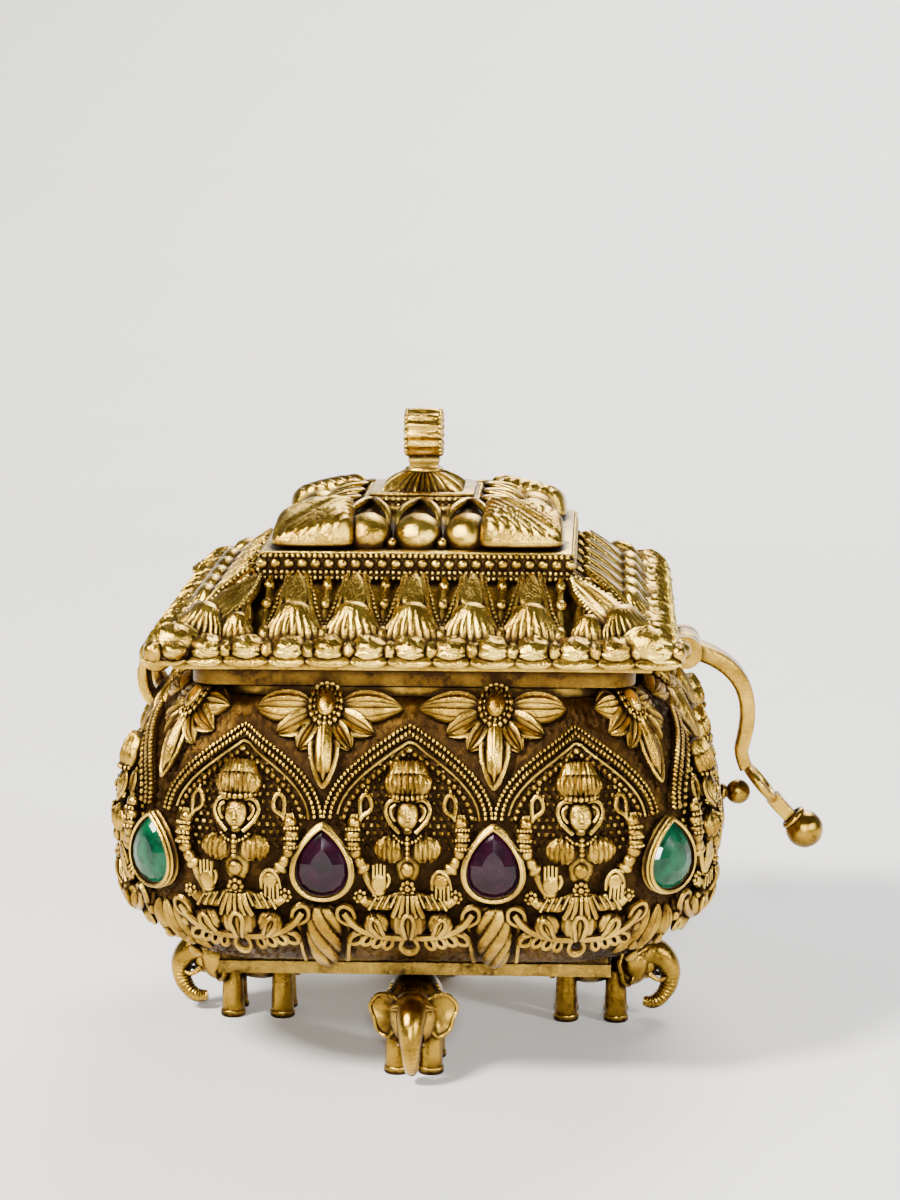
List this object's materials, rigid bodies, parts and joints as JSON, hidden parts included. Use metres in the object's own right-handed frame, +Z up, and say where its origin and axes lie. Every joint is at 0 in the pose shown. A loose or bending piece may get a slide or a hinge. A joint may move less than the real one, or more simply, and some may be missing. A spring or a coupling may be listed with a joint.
{
  "type": "hinged lidded kumkum box",
  "caption": "Small cast brass temple-style box with bulging relief walls, set stones, elephant feet, a tiered hinged lid and a swinging hasp.",
  "frame": {"origin": "on the surface that the elephants' feet stand on, under the middle of the body", "axes": "+Z up; +X from the hinge to the hasp; the figures' front side looks along -Y"},
  "size_m": [0.0832, 0.0706, 0.074],
  "materials": {
    "gold": "antique gold plate, polished high spots and dark patina in the recesses",
    "aged_gold": "duller antique gold plate, as cast",
    "ruby": "faceted, very dark plum",
    "emerald": "faceted, vivid green"
  },
  "bodies": {
    "box": {"base_plate": "aged_gold", "front_panel": "gold", "right_panel": "gold", "back_panel": "gold", "left_panel": "gold", "inner_box": "aged_gold", "top_collar": "gold", "front_figures": "gold", "right_figures": "gold", "back_figures": "gold", "left_figures": "gold", "arch_bands": "gold", "flower_bosses": "gold", "shell_drops": "gold", "ruby_bezels": "gold", "emerald_bezels": "gold", "rubies": "ruby", "emeralds": "emerald", "elephant_front": "aged_gold", "elephant_right": "aged_gold", "elephant_back": "aged_gold", "elephant_left": "aged_gold", "catch_stud": "gold", "body_hinge_leaf": "gold", "hinge_pin": "aged_gold"},
    "lid": {"lid_hinge_leaf": "gold", "lid_plate": "gold", "lid_locating_rim": "aged_gold", "lid_eave": "gold", "lid_petal_roof": "gold", "lid_cornice": "gold", "lid_upper_tier": "gold", "lid_cap": "gold", "finial_loop": "gold", "hasp_bracket": "gold", "hasp_pin": "aged_gold"},
    "hasp": {"hasp_lever": "gold", "hasp_end_ball": "gold"}
  },
  "joints": [
    {"name": "lid_hinge", "type": "hinge", "parent": "box", "child": "lid", "pos_m": [-0.0313, 0, 0.0453], "axis": [0, -1, 0], "range_deg": [0, 105]},
    {"name": "hasp_hinge", "type": "hinge", "parent": "lid", "child": "hasp", "pos_m": [0.031, 0, 0.0456], "axis": [0, -1, 0], "range_deg": [-8, 100]}
  ]
}
